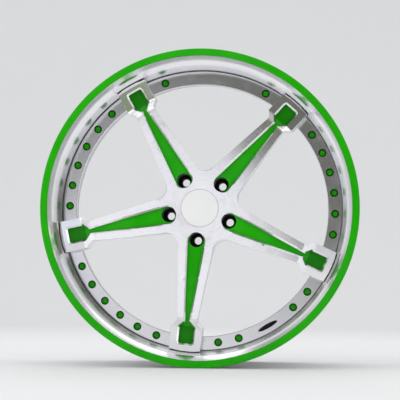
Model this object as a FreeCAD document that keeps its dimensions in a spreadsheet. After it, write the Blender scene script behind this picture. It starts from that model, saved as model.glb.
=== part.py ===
import FreeCAD, Part
import math
import os

import Sketcher
from FreeCAD import Placement, Rotation, Vector

# A three-piece forged road wheel, upright, that turns about the Y axis and faces along -Y.
# The origin is the wheel's centre. Depths run from the front edge of the rim towards the back.

SPOKES = 5
BOLTS_IN_BAY = 6  # places for bolts between two feet
PLAIN_BAY = 0  # bay whose four middle places are left plain
BADGE_BAY = 2  # bay whose two middle places carry the badge
SPARE = 6.0  # how far a cut runs past the metal

SIZES = {
    "rim_width": 254.0,  # between the two faces that hold the tyre
    "seat_radius": 269.4,  # the lip's wall where the centre sits
    "lip_taper": 2.8,  # from there out to the wall at wall_depth
    "flare_rise": 4.8,  # and on out to flare_depth
    "bead_height": 12.4,  # from the centre's seat out to the tyre's
    "flange_height": 17.3,
    "flange_width": 13.0,
    "flange_curl": 7.5,  # curve from the flange's face to its rim
    "bead_fall": 1.7,
    "bead_length": 20.0,
    "bead_corner": 6.0,
    "hump_height": 1.2,
    "hump_length": 4.0,
    "lip_face_width": 13.6,  # painted face
    "lip_face_lean": 1.6,
    "lip_edge_round": 1.6,
    "lip_crown_round": 2.2,
    "flare_depth": 15.0,
    "flare_round": 30.0,
    "wall_depth": 42.0,
    "wall_round": 80.0,
    "lip_shell": 6.4,
    "plate_thickness": 7.0,  # each rim half's bolted flange
    "plate_width": 25.4,
    "groove_size": 4.0,  # for the sealant
    "barrel_shell": 5.5,
    "barrel_step": 31.0,  # straight wall behind the bolted flange
    "well_drop": 13.8,
    "well_length": 44.0,
    "well_slope": 18.0,
    "well_round": 8.0,
    "ring_depth": 88.0,
    "ring_thickness": 12.0,
    "ring_width": 26.4,
    "ring_bevel": 1.0,
    "ring_gap": 1.8,
    "hub_depth": 30.0,
    "hub_flat_radius": 80.0,
    "crown_depth": 25.5,  # spokes' foremost line
    "crown_radius": 140.0,
    "bend_depth": 29.0,  # where spokes turn down to their feet
    "bend_lead": 7.0,  # from there out to the neck
    "foot_depth": 39.0,
    "foot_lag": 14.0,  # from the neck out to there
    "foot_edge_depth": 43.5,
    "face_round": 300.0,
    "bend_round": 45.0,
    "foot_round": 30.0,
    "mount_depth": 102.0,
    "mount_radius": 74.0,
    "root_back_depth": 76.0,
    "root_back_radius": 92.0,
    "neck_back_depth": 60.0,
    "back_slope": 40.0,  # from there out to the ring
    "back_round": 18.0,
    "spoke_turn": 30.0,  # degrees from upright to the first spoke
    "spoke_root_width": 82.0,
    "spoke_neck_width": 37.4,
    "foot_length": 55.4,  # from the neck out to the centre's seat
    "neck_round": 9.0,
    "foot_width": 59.4,
    "foot_corner": 4.0,
    "root_round": 22.0,
    "channel_depth": 6.5,
    "channel_start": 49.0,
    "channel_root_width": 33.6,
    "channel_end_round": 12.5,
    "channel_neck_width": 6.8,
    "channel_neck_shift": 1.5,  # beyond the spoke's neck
    "channel_neck_round": 4.0,
    "pocket_width": 27.0,
    "pocket_inset": 13.4,
    "pocket_corner": 3.0,
    "channel_bevel": 2.0,
    "rail_bevel": 1.2,
    "web_thickness": 10.0,  # between a channel and the hollow behind it
    "rib_width": 10.0,
    "hollow_start": 98.0,
    "hollow_margin": 9.0,  # short of the neck
    "hollow_corner": 6.0,
    "bore_radius": 36.3,
    "bore_length": 28.0,
    "cap_bore_radius": 31.2,
    "cap_seat_radius": 35.7,
    "cap_seat_depth": 3.0,
    "cap_groove_depth": 13.0,
    "cap_groove_width": 3.6,
    "cap_groove_cut": 1.4,
    "lug_circle_radius": 60.0,
    "lug_pocket_radius": 14.0,
    "lug_pocket_depth": 46.0,
    "lug_hole_radius": 7.25,
    "lug_seat_angle": 60.0,
    "bolt_inset": 13.4,
    "bolt_pitch": 9.0,  # degrees
    "bolt_radius": 4.0,
    "bolt_clearance": 0.3,
    "pocket_clearance": 0.55,  # round a bolt's flange
    "bolt_pocket_depth": 7.5,
    "bolt_flange_radius": 7.2,
    "bolt_flange_thickness": 2.0,
    "bolt_head_radius": 5.4,
    "bolt_head_height": 4.4,
    "bolt_tail": 2.5,
    "washer_radius": 7.8,
    "washer_thickness": 1.4,
    "nut_radius": 7.2,
    "nut_height": 6.5,
    "nut_clearance": 0.05,
    "badge_length": 42.0,
    "badge_width": 9.4,
    "badge_thickness": 1.6,
    "cap_clearance": 0.5,
    "cap_edge": 3.4,
    "cap_crown": 1.2,
    "cap_shell": 2.4,
    "cap_edge_round": 0.8,
    "skirt_clearance": 0.4,
    "skirt_wall": 1.8,
    "skirt_barb": 1.2,
    "barb_length": 2.8,
    "wire_radius": 0.8,
    "wire_clearance": 0.1,
    "valve_back": 22.0,  # behind the bolted flanges
    "valve_hole_radius": 5.75,
    "spot_margin": 0.9,  # round the seal
    "valve_spot_cut": 0.5,
    "seal_radius": 8.6,
    "seal_thickness": 3.0,
    "seal_clearance": 0.15,
    "stem_radius": 4.0,
    "stem_head_radius": 7.8,
    "stem_head_thickness": 2.4,
    "stem_reach": 34.0,
    "stem_bore_radius": 2.2,
    "core_radius": 1.9,
    "core_length": 20.0,
    "valve_washer_radius": 7.6,
    "valve_washer_thickness": 1.0,
    "valve_nut_radius": 6.9,
    "valve_nut_height": 5.0,
    "valve_cap_radius": 5.3,
    "valve_cap_length": 13.0,
    "valve_cap_end": 2.5,
}


class Size:
    # A number together with the sheet expression that gives it.

    def __init__(self, number, text):
        self.number = number
        self.text = text

    def __add__(self, other):
        other = as_size(other)
        return Size(self.number + other.number, f"({self.text} + {other.text})")

    def __sub__(self, other):
        other = as_size(other)
        return Size(self.number - other.number, f"({self.text} - {other.text})")

    def __mul__(self, factor):
        factor = as_size(factor)
        return Size(self.number * factor.number, f"({self.text} * {factor.text})")

    def __truediv__(self, other):
        other = as_size(other)
        return Size(self.number / other.number, f"({self.text} / {other.text})")

    def __neg__(self):
        return self * -1.0


def as_size(value):
    if isinstance(value, Size):
        return value
    return Size(float(value), f"({float(value)!r})")


def make_sheet(doc):
    sheet = doc.addObject("Spreadsheet::Sheet", "sizes")
    for row, (alias, value) in enumerate(SIZES.items(), 1):
        sheet.set(f"A{row}", alias.replace("_", " "))
        sheet.set(f"B{row}", str(value))
        sheet.setAlias(f"B{row}", alias)
    doc.recompute()
    s = {alias: Size(float(sheet.get(alias)), f"sizes.{alias}") for alias in SIZES}
    add_radii(s)
    return s


def add_radii(s):
    # Distances from the axis that follow from the centre's seat, and holes that follow from what they hold.
    seat = s["seat_radius"]
    s["wall_radius"] = seat + s["lip_taper"]
    s["flare_radius"] = s["wall_radius"] + s["flare_rise"]
    s["bead_radius"] = seat + s["bead_height"]
    s["flange_radius"] = s["bead_radius"] + s["flange_height"]
    s["lip_face_radius"] = s["flange_radius"] - s["lip_face_width"]
    s["lip_outside"] = seat + s["lip_shell"]
    s["well_radius"] = s["lip_outside"] - s["well_drop"]
    s["plate_radius"] = seat - s["plate_width"]
    s["ring_radius"] = seat - s["ring_width"]
    s["bolt_circle_radius"] = seat - s["bolt_inset"]
    s["pocket_end"] = seat - s["pocket_inset"]
    s["neck_radius"] = seat - s["foot_length"]
    s["channel_neck_radius"] = s["neck_radius"] + s["channel_neck_shift"]
    s["bend_radius"] = s["neck_radius"] - s["bend_lead"]
    s["foot_radius"] = s["neck_radius"] + s["foot_lag"]
    s["neck_back_radius"] = s["ring_radius"] - s["back_slope"]
    s["hollow_end"] = s["neck_radius"] - s["hollow_margin"]
    s["bolt_hole_radius"] = s["bolt_radius"] + s["bolt_clearance"]
    s["bolt_pocket_radius"] = s["bolt_flange_radius"] + s["pocket_clearance"]
    s["cap_radius"] = s["cap_seat_radius"] - s["cap_clearance"]
    s["skirt_radius"] = s["cap_bore_radius"] - s["skirt_clearance"]
    s["cap_groove_radius"] = s["cap_bore_radius"] + s["cap_groove_cut"]
    s["valve_spot_radius"] = s["seal_radius"] + s["spot_margin"]


def bound(sketch, kind, where, size):
    index = sketch.addConstraint(Sketcher.Constraint(kind, *where, size.number))
    sketch.setExpression(f"Constraints[{index}]", size.text)


def bound_spot(sketch, item, end, across, along):
    for kind, axis, size in (("DistanceX", -2, across), ("DistanceY", -1, along)):
        if abs(size.number) < 1e-9:
            sketch.addConstraint(Sketcher.Constraint("PointOnObject", item, end, axis))
        else:
            bound(sketch, kind, (-1, 1, item, end), size)


def corner_arc(before, corner, after, radius):
    # The round between two straight lines: where it starts and ends, its middle, and whether it turns left.
    back = (before - corner).normalize()
    ahead = (after - corner).normalize()
    half = back.getAngle(ahead) / 2
    reach = radius / math.tan(half)
    middle = corner + (back + ahead).normalize() * (radius / math.sin(half))
    turns_left = (ahead.cross(back)).z > 0
    return corner + back * reach, corner + ahead * reach, middle, turns_left


def draw_outline(sketch, corners):
    # A closed outline through (across, along, round) corners, each bound to the sheet.
    spots = [Vector(across.number, along.number, 0) for across, along, _ in corners]
    count = len(corners)
    starts, ends, arcs = [], [], {}
    for i, (_, _, radius) in enumerate(corners):
        ends.append(spots[i])
        starts.append(spots[i])
        if radius is not None:
            arc = corner_arc(spots[i - 1], spots[i], spots[(i + 1) % count], radius.number)
            ends[i], starts[i] = arc[:2]
            arcs[i] = arc
    lines = []
    for i in range(count):
        lines.append(sketch.addGeometry(Part.LineSegment(starts[i], ends[(i + 1) % count]), False))
    for i, (across, along, radius) in enumerate(corners):
        point = sketch.addGeometry(Part.Point(spots[i]), True)
        bound_spot(sketch, point, 1, across, along)
        into, out = lines[i - 1], lines[i]
        if radius is None:
            sketch.addConstraint(Sketcher.Constraint("Coincident", into, 2, point, 1))
            sketch.addConstraint(Sketcher.Constraint("Coincident", out, 1, point, 1))
            continue
        start, end, middle, turns_left = arcs[i]
        first, last = (start, end) if turns_left else (end, start)
        circle = Part.Circle(middle, Vector(0, 0, 1), radius.number)
        span = [math.atan2(spot.y - middle.y, spot.x - middle.x) for spot in (first, last)]
        arc = sketch.addGeometry(Part.ArcOfCircle(circle, *span), False)
        near, far = (1, 2) if turns_left else (2, 1)
        sketch.addConstraint([
            Sketcher.Constraint("Tangent", into, 2, arc, near),
            Sketcher.Constraint("Tangent", arc, far, out, 1),
            Sketcher.Constraint("PointOnObject", point, 1, into),
            Sketcher.Constraint("PointOnObject", point, 1, out),
        ])
        bound(sketch, "Radius", (arc,), radius)


def draw_circles(sketch, spots, radius):
    # Equal circles at (across, along) spots.
    first = None
    for across, along in spots:
        middle = Vector(across.number, along.number, 0)
        circle = sketch.addGeometry(Part.Circle(middle, Vector(0, 0, 1), radius.number), False)
        bound_spot(sketch, circle, 3, across, along)
        if first is None:
            first = circle
            bound(sketch, "Radius", (circle,), radius)
        else:
            sketch.addConstraint(Sketcher.Constraint("Equal", first, circle))


def mirrored(half):
    # A symmetric outline from its right half, which runs from bottom to top.
    left = [(-across, along, radius) for across, along, radius in reversed(half)]
    return half + left


def new_body(doc, label):
    body = doc.addObject("PartDesign::Body", label)
    body.Label = label
    return body


def new_sketch(body, plane, offset=None, turn=None, axis=Vector(0, 0, 1)):
    sketch = body.newObject("Sketcher::SketchObject", "outline")
    support = [item for item in body.Origin.OriginFeatures if item.Role == plane]
    sketch.AttachmentSupport = [(support[0], "")]
    sketch.MapMode = "FlatFace"
    if turn is not None:
        sketch.AttachmentOffset = Placement(Vector(), Rotation(axis, turn.number))
        sketch.setExpression("AttachmentOffset.Rotation.Angle", turn.text)
    if offset is not None:
        sketch.setExpression("AttachmentOffset.Base.z", offset.text)
    return sketch


def add_feature(body, kind, **settings):
    feature = body.newObject(f"PartDesign::{kind}", kind.lower())
    for name, value in settings.items():
        if isinstance(value, Size):
            feature.setExpression(name, value.text)
        else:
            setattr(feature, name, value)
    body.Tip = feature
    return feature


def turned(body, corners, kind="Revolution"):
    # Metal added, or cut with kind Groove, by turning an outline of (radius, Y) corners about Y.
    sketch = new_sketch(body, "XY_Plane")
    draw_outline(sketch, corners)
    return add_feature(body, kind, Profile=sketch, ReferenceAxis=(sketch, ["V_Axis"]), Angle=360.0)


def around(body, feature):
    sketch = feature.Profile[0]
    axis = (sketch, ["N_Axis"])
    return add_feature(body, "PolarPattern", Originals=[feature], Axis=axis, Angle=360.0, Occurrences=SPOKES)


class Depths:
    # Y positions of the wheel, worked out from depths behind the rim's front edge.

    def __init__(self, s):
        self.front = -(s["rim_width"] / 2 + s["flange_width"])
        self.s = s

    def at(self, depth):
        return self.front + depth

    def __getitem__(self, name):
        return self.at(self.s[name])

    def seat(self):
        return self.at(self.s["ring_depth"] + self.s["ring_thickness"])

    def joint(self):
        return self.seat() + self.s["plate_thickness"]

    def back_plate(self):
        return self.joint() + self.s["plate_thickness"]


def spoke_half_width(s, radius):
    root = s["spoke_root_width"] / 2
    neck = s["spoke_neck_width"] / 2
    return root - (root - neck) * (radius / s["neck_radius"])


def spoke_outline(s):
    neck = s["spoke_neck_width"] / 2
    foot = s["foot_width"] / 2
    shoulder = s["neck_radius"] + foot - neck
    return mirrored([
        (s["spoke_root_width"] / 2, as_size(0), None),
        (neck, s["neck_radius"], s["neck_round"]),
        (foot, shoulder, s["foot_corner"]),
        (foot, s["flange_radius"], None),
    ])


def channel_outline(s):
    neck = s["channel_neck_width"] / 2
    pocket = s["pocket_width"] / 2
    shoulder = s["channel_neck_radius"] + pocket - neck
    return mirrored([
        (s["channel_root_width"] / 2, s["channel_start"], s["channel_end_round"]),
        (neck, s["channel_neck_radius"], s["channel_neck_round"]),
        (pocket, shoulder, s["pocket_corner"]),
        (pocket, s["pocket_end"], s["pocket_corner"]),
    ])


def hollow_outline(s):
    return mirrored([
        (spoke_half_width(s, s["hollow_start"]) - s["rib_width"], s["hollow_start"], s["hollow_corner"]),
        (spoke_half_width(s, s["hollow_end"]) - s["rib_width"], s["hollow_end"], s["hollow_corner"]),
    ])


def face_line(s, y, inner, below=None):
    # The spokes' arched face from hub to foot, or a surface a set distance below it.
    drop = as_size(0) if below is None else below
    return [
        (inner, y["hub_depth"] + drop, None),
        (s["hub_flat_radius"], y["hub_depth"] + drop, s["face_round"]),
        (s["crown_radius"], y["crown_depth"] + drop, s["face_round"]),
        (s["bend_radius"], y["bend_depth"] + drop, s["bend_round"]),
        (s["foot_radius"], y["foot_depth"] + drop, s["foot_round"]),
    ]


def turned_limits(s, y):
    # Everything outside the forging's turned form: before its face, round its rim and behind its back.
    core = s["cap_bore_radius"] / 2
    beyond = s["flange_radius"] + SPARE
    behind = y["mount_depth"] + SPARE * 2
    return face_line(s, y, core) + [
        (s["wall_radius"] - s["ring_gap"], y["foot_edge_depth"], None),
        (s["seat_radius"] - s["ring_gap"], y.seat(), None),
        (s["ring_radius"], y.seat(), None),
        (s["neck_back_radius"], y["neck_back_depth"], s["back_round"]),
        (s["root_back_radius"], y["root_back_depth"], s["back_round"] / 2),
        (s["mount_radius"], y["mount_depth"], None),
        (core, y["mount_depth"], None),
        (core, behind, None),
        (beyond, behind, None),
        (beyond, y.front, None),
        (core, y.front, None),
    ]


def hub_bore(s, y):
    seat = y["hub_depth"] + s["cap_seat_depth"]
    groove = y["hub_depth"] + s["cap_groove_depth"]
    shelf = y["mount_depth"] - s["bore_length"]
    axis = as_size(0)
    return [
        (axis, y.front - SPARE, None),
        (s["cap_seat_radius"], y.front - SPARE, None),
        (s["cap_seat_radius"], seat, None),
        (s["cap_bore_radius"], seat, None),
        (s["cap_bore_radius"], groove, None),
        (s["cap_groove_radius"], groove, None),
        (s["cap_groove_radius"], groove + s["cap_groove_width"], None),
        (s["cap_bore_radius"], groove + s["cap_groove_width"], None),
        (s["cap_bore_radius"], shelf, None),
        (s["bore_radius"], shelf, None),
        (s["bore_radius"], y["mount_depth"] + SPARE * 2, None),
        (axis, y["mount_depth"] + SPARE * 2, None),
    ]


def spot(radius, degrees):
    turn = math.radians(degrees)
    return radius * math.cos(turn), radius * math.sin(turn)


def bolt_angles(s):
    # Degrees from the first spoke, taken upright, to each bolt.
    angles = []
    for bay in range(SPOKES):
        left_out = {PLAIN_BAY: 4, BADGE_BAY: 2}.get(bay, 0)
        for place in range(BOLTS_IN_BAY):
            steps = place - (BOLTS_IN_BAY - 1) / 2
            if abs(steps) > left_out / 2:
                angles.append(90 - (bay + 0.5) * 360 / SPOKES + steps * s["bolt_pitch"].number)
    return angles


def bolt_spots(s):
    return [spot(s["bolt_circle_radius"], angle) for angle in bolt_angles(s)]


def make_centre(doc, s, y):
    body = new_body(doc, "wheel_centre")
    turn = s["spoke_turn"]
    sketch = new_sketch(body, "XZ_Plane", -(y["mount_depth"] + SPARE), turn)
    draw_outline(sketch, spoke_outline(s))
    spoke = add_feature(body, "Pad", Profile=sketch, Length=s["mount_depth"] + SPARE)
    star = around(body, spoke)
    doc.recompute()
    roots = [f"Edge{i}" for i, edge in enumerate(star.Shape.Edges, 1) if is_root_edge(edge, s)]
    add_feature(body, "Fillet", Base=(star, roots), Radius=s["root_round"])
    turned(body, [
        (s["ring_radius"], y.at(s["ring_depth"] + s["ring_bevel"]), None),
        (s["ring_radius"] + s["ring_bevel"], y["ring_depth"], None),
        (s["wall_radius"], y["ring_depth"], None),
        (s["wall_radius"], y.seat(), None),
        (s["ring_radius"], y.seat(), None),
    ])
    turned(body, turned_limits(s, y), "Groove")
    cut = add_feature(body, "Boolean", Type="Cut")
    cut.setObjects([make_channel_tool(doc, s, y)])
    doc.recompute()
    for bevel, inner in (("channel_bevel", True), ("rail_bevel", False)):
        edges = face_edges(body.Tip.Shape, s, y, inner)
        add_feature(body, "Chamfer", Base=(body.Tip, edges), Size=s[bevel])
        doc.recompute()
    turned(body, hub_bore(s, y), "Groove")
    drill_lugs(body, s, y)
    drill_ring(body, s, y)
    sketch = new_sketch(body, "XZ_Plane", -y.at(s["hub_depth"] + s["channel_depth"] + s["web_thickness"]), turn)
    draw_outline(sketch, hollow_outline(s))
    hollow = add_feature(body, "Pocket", Profile=sketch, Length=s["mount_depth"])
    around(body, hollow)
    return body


def is_root_edge(edge, s):
    # An upright edge near the hub, where two spokes meet.
    ends = [vertex.Point for vertex in edge.Vertexes]
    if len(ends) != 2 or abs(ends[0].y - ends[1].y) < SPARE:
        return False
    return math.hypot(ends[0].x, ends[0].z) > s["spoke_root_width"].number / 2 and all(
        math.hypot(end.x, end.z) < s["neck_radius"].number / 2 for end in ends)


def on_spoke(point, s):
    # A point's distances across and along the spoke nearest to it.
    step = math.radians(360 / SPOKES)
    first = math.radians(90 + s["spoke_turn"].number)
    turn = first + step * round((math.atan2(point.z, point.x) - first) / step)
    along = point.x * math.cos(turn) + point.z * math.sin(turn)
    return point.z * math.cos(turn) - point.x * math.sin(turn), along


def face_edges(shape, s, y, inner):
    # Names of the front edges of the channels if inner, else of the spokes' sides.
    beside = {}
    for face in shape.Faces:
        for edge in face.Edges:
            beside.setdefault(edge.hashCode(), []).append(face)
    names = []
    for i, edge in enumerate(shape.Edges, 1):
        if is_face_edge(edge, beside[edge.hashCode()], s, y, inner):
            names.append(f"Edge{i}")
    return names


def is_face_edge(edge, faces, s, y, inner):
    # A front edge where an upright wall meets the arched face.
    point = edge.valueAt(sum(edge.ParameterRange) / 2)
    if len(faces) != 2 or point.y > y["ring_depth"].number - SPARE:
        return False
    slants = [abs(face.normalAt(*face.Surface.parameter(point)).y) for face in faces]
    if min(slants) > 0.1 or max(slants) < 0.5:
        return False
    if faces[slants.index(min(slants))].CenterOfMass.y < point.y:
        return False
    across, along = on_spoke(point, s)
    length = s["channel_neck_radius"].number - s["channel_start"].number
    share = min(1.0, (along - s["channel_start"].number) / length)
    half = s["channel_root_width"].number * (1 - share) + s["channel_neck_width"].number * share
    limit = s["pocket_width"].number if along > s["channel_neck_radius"].number else half
    within = abs(across) < limit / 2 + SPARE / 4 and along < s["pocket_end"].number + SPARE / 4
    return within == inner


def drill_lugs(body, s, y):
    sketch = new_sketch(body, "XZ_Plane", -y["hub_depth"], s["spoke_turn"])
    spots = [spot(s["lug_circle_radius"], 90 + i * 360 / SPOKES) for i in range(SPOKES)]
    draw_circles(sketch, spots, s["lug_hole_radius"])
    body.Document.recompute()
    hole = add_feature(body, "Hole", Profile=sketch, DepthType="ThroughAll")
    hole.HoleCutType = "Counterdrill"
    hole.HoleCutCustomValues = True
    hole.setExpression("Diameter", (s["lug_hole_radius"] * 2).text)
    hole.setExpression("HoleCutDiameter", (s["lug_pocket_radius"] * 2).text)
    hole.setExpression("HoleCutDepth", s["lug_pocket_depth"].text)
    hole.setExpression("HoleCutCountersinkAngle", s["lug_seat_angle"].text)


def drill_ring(body, s, y):
    for radius, depth in (("bolt_pocket_radius", "bolt_pocket_depth"), ("bolt_hole_radius", "ring_thickness")):
        sketch = new_sketch(body, "XZ_Plane", -y["ring_depth"], s["spoke_turn"])
        draw_circles(sketch, bolt_spots(s), s[radius])
        add_feature(body, "Pocket", Profile=sketch, Length=s[depth])


def make_channel_tool(doc, s, y):
    # The space of the sunk channels, with a floor that follows the arched face.
    body = new_body(doc, "channel_tool")
    sketch = new_sketch(body, "XZ_Plane", -y["mount_depth"], s["spoke_turn"])
    draw_outline(sketch, channel_outline(s))
    around(body, add_feature(body, "Pad", Profile=sketch, Length=s["mount_depth"]))
    beyond = s["flange_radius"]
    slope = (s["foot_edge_depth"] - s["foot_depth"]) / (s["wall_radius"] - s["foot_radius"])
    fall = slope * (beyond - s["foot_radius"])
    below = s["channel_depth"]
    floor = face_line(s, y, s["cap_bore_radius"] / 2, below)
    turned(body, floor + [
        (beyond, y["foot_depth"] + below + fall, None),
        (beyond, y["mount_depth"] + SPARE, None),
        (s["cap_bore_radius"] / 2, y["mount_depth"] + SPARE, None),
    ], "Groove")
    return body


def make_outer_lip(doc, s, y):
    body = new_body(doc, "outer_lip")
    low = s["bead_radius"] - s["bead_fall"]
    hump = s["flange_width"] + s["bead_length"] + s["hump_length"]
    outside = s["lip_outside"]
    turned(body, [
        (s["lip_face_radius"], y.front, s["lip_edge_round"]),
        (s["flange_radius"], y.at(s["lip_face_lean"]), s["lip_crown_round"]),
        (s["flange_radius"], y["flange_width"], s["flange_curl"]),
        (s["bead_radius"], y["flange_width"], s["bead_corner"]),
        (low, y.at(s["flange_width"] + s["bead_length"]), None),
        (low + s["hump_height"], y.at(hump), None),
        (low + s["hump_height"], y.at(hump + s["hump_length"]), None),
        (s["wall_radius"] + s["lip_shell"], y.at(hump + s["hump_length"] * 3), None),
        (outside, y.joint() - s["groove_size"], None),
        (outside - s["groove_size"], y.joint(), None),
        (s["plate_radius"], y.joint(), None),
        (s["plate_radius"], y.seat(), None),
        (s["seat_radius"], y.seat(), None),
        (s["wall_radius"], y["wall_depth"], s["wall_round"]),
        (s["flare_radius"], y["flare_depth"], s["flare_round"]),
    ])
    drill_plate(body, s, y.seat(), s["plate_thickness"])
    return body


def make_inner_barrel(doc, s, y):
    body = new_body(doc, "inner_barrel")
    back = -y.front
    flange = back - s["flange_width"]
    seat = flange - s["bead_length"]
    hump = seat - s["hump_length"]
    low = s["bead_radius"] - s["bead_fall"]
    shell = s["barrel_shell"]
    outside = s["lip_outside"]
    step = y.joint() + s["barrel_step"]
    well = step + s["well_slope"]
    well_end = well + s["well_length"]
    turned(body, [
        (outside - s["groove_size"], y.joint(), None),
        (outside, y.joint() + s["groove_size"], None),
        (outside, step, s["well_round"]),
        (s["well_radius"], well, s["well_round"]),
        (s["well_radius"], well_end, s["well_round"]),
        (low + s["hump_height"], hump - s["hump_length"], None),
        (low + s["hump_height"], hump, None),
        (low, seat, None),
        (s["bead_radius"], flange, s["bead_corner"]),
        (s["flange_radius"], flange, s["flange_curl"]),
        (s["flange_radius"], back, s["lip_edge_round"]),
        (s["flange_radius"] - shell, back, s["lip_edge_round"]),
        (s["flange_radius"] - shell, flange + shell, s["flange_curl"] - shell),
        (s["bead_radius"] - shell, flange + shell, s["lip_crown_round"]),
        (s["bead_radius"] - shell, hump - s["hump_length"], s["well_round"]),
        (s["well_radius"] - shell, well_end, s["well_round"]),
        (s["well_radius"] - shell, well, s["well_round"]),
        (outside - shell, step, s["well_round"]),
        (outside - shell, y.back_plate(), s["lip_edge_round"]),
        (s["plate_radius"], y.back_plate(), None),
        (s["plate_radius"], y.joint(), None),
    ])
    drill_plate(body, s, y.joint(), s["plate_thickness"])
    drill_valve(body, s, y)
    return body


def drill_plate(body, s, face, thickness):
    sketch = new_sketch(body, "XZ_Plane", -face, s["spoke_turn"])
    draw_circles(sketch, bolt_spots(s), s["bolt_hole_radius"])
    add_feature(body, "Pocket", Profile=sketch, Length=thickness)


def valve_angle(s):
    # From the X axis round to the second spoke on from the first.
    return s["spoke_turn"] + 90 + 2 * 360 / SPOKES


def valve_walls(s):
    # Distances from the axis to the flats spot-faced inside and outside the barrel's wall.
    outside = s["lip_outside"]
    return outside - s["barrel_shell"] + s["valve_spot_cut"], outside - s["valve_spot_cut"]


def drill_valve(body, s, y):
    inside, outside = valve_walls(s)
    top = s["flange_radius"]
    for radius, start, length in (
        (s["valve_spot_radius"], top, top - outside),
        (s["valve_hole_radius"], top, top - s["well_radius"]),
        (s["valve_spot_radius"], inside, s["barrel_shell"] * 2),
    ):
        sketch = new_sketch(body, "YZ_Plane", None, -valve_angle(s), Vector(1, 0, 0))
        along, across = spot(start, valve_angle(s).number)
        sketch.setExpression("AttachmentOffset.Base.y", across.text)
        sketch.setExpression("AttachmentOffset.Base.z", along.text)
        draw_circles(sketch, [(y.joint() + s["valve_back"], as_size(0))], radius)
        add_feature(body, "Pocket", Profile=sketch, Length=length)


def make_sealant(doc, s, y):
    body = new_body(doc, "joint_sealant")
    outside = s["lip_outside"]
    turned(body, [
        (outside - s["groove_size"], y.joint(), None),
        (outside, y.joint() - s["groove_size"], None),
        (outside, y.joint() + s["groove_size"], None),
    ])
    return body


def cylinder(doc, radius, low, high):
    item = doc.addObject("Part::Cylinder", "cylinder")
    return stand(item, "Radius", radius, low, high)


def hexagon(doc, radius, low, high):
    item = doc.addObject("Part::Prism", "hexagon")
    item.Polygon = 6
    return stand(item, "Circumradius", radius, low, high)


def stand(item, name, radius, low, high):
    item.setExpression(name, radius.text)
    item.setExpression("Height", (high - low).text)
    item.setExpression("Placement.Base.z", low.text)
    return item


def fused(doc, *items):
    whole = doc.addObject("Part::MultiFuse", "fused")
    whole.Shapes = list(items)
    return whole


def bored(doc, outer, inner):
    item = doc.addObject("Part::Cut", "bored")
    item.Base = outer
    item.Tool = inner
    return item


def ringed(doc, s, label, pattern, face):
    # One separate copy of a small part at every bolt, set with its own z axis along -Y.
    doc.recompute()
    copies = []
    for angle in bolt_angles(s):
        across, up = spot(s["bolt_circle_radius"], angle + s["spoke_turn"].number)
        place = Placement(Vector(across.number, face.number, up.number), Rotation(Vector(1, 0, 0), 90))
        copy = pattern.Shape.copy()
        copy.Placement = place.multiply(copy.Placement)
        copies.append(copy)
    group = doc.addObject("Part::Feature", label)
    group.Label = label
    group.Shape = Part.makeCompound(copies)
    return group


def bolt_grip(s):
    # From the floor of a bolt's pocket to the back of the bolted flanges.
    return s["ring_thickness"] - s["bolt_pocket_depth"] + s["plate_thickness"] * 2


def make_bolts(doc, s, y):
    under = as_size(0)
    top = s["bolt_flange_thickness"]
    tail = bolt_grip(s) + s["washer_thickness"] + s["nut_height"] + s["bolt_tail"]
    bolt = fused(
        doc,
        cylinder(doc, s["bolt_radius"], -tail, top),
        cylinder(doc, s["bolt_flange_radius"], under, top),
        hexagon(doc, s["bolt_head_radius"], top, top + s["bolt_head_height"]),
    )
    return ringed(doc, s, "assembly_bolts", bolt, y.at(s["ring_depth"] + s["bolt_pocket_depth"]))


def make_washers(doc, s, y):
    back = -s["washer_thickness"]
    level = as_size(0)
    washer = bored(doc, cylinder(doc, s["washer_radius"], back, level),
                   cylinder(doc, s["bolt_hole_radius"], back, level))
    return ringed(doc, s, "nut_washers", washer, y.back_plate())


def make_nuts(doc, s, y):
    back = -s["nut_height"]
    level = as_size(0)
    hole = s["bolt_radius"] + s["nut_clearance"]
    nut = bored(doc, hexagon(doc, s["nut_radius"], back, level), cylinder(doc, hole, back, level))
    return ringed(doc, s, "assembly_nuts", nut, y.back_plate() + s["washer_thickness"])


def make_cap(doc, s, y):
    body = new_body(doc, "centre_cap")
    seat = y["hub_depth"] + s["cap_seat_depth"]
    edge = seat - s["cap_edge"]
    barb = y["hub_depth"] + s["cap_groove_depth"] + (s["cap_groove_width"] - s["barb_length"]) / 2
    inside = s["skirt_radius"] - s["skirt_wall"]
    turned(body, [
        (as_size(0), edge - s["cap_crown"], None),
        (s["cap_radius"], edge, s["cap_edge_round"]),
        (s["cap_radius"], seat, None),
        (s["skirt_radius"], seat, None),
        (s["skirt_radius"], barb, None),
        (s["skirt_radius"] + s["skirt_barb"], barb, None),
        (s["skirt_radius"], barb + s["barb_length"], None),
        (inside, barb + s["barb_length"], None),
        (inside, edge + s["cap_shell"], None),
        (as_size(0), edge + s["cap_shell"], None),
    ])
    return body


def make_spring_ring(doc, s, y):
    ring = doc.addObject("Part::Torus", "cap_spring_ring")
    ring.Label = "cap_spring_ring"
    reach = s["wire_radius"] + s["wire_clearance"]
    ring.setExpression("Radius1", (s["skirt_radius"] - s["skirt_wall"] - reach).text)
    ring.setExpression("Radius2", s["wire_radius"].text)
    ring.Placement = Placement(Vector(), Rotation(Vector(1, 0, 0), 90))
    ring.setExpression("Placement.Base.y", (y["hub_depth"] + s["cap_groove_depth"]).text)
    return ring


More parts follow.
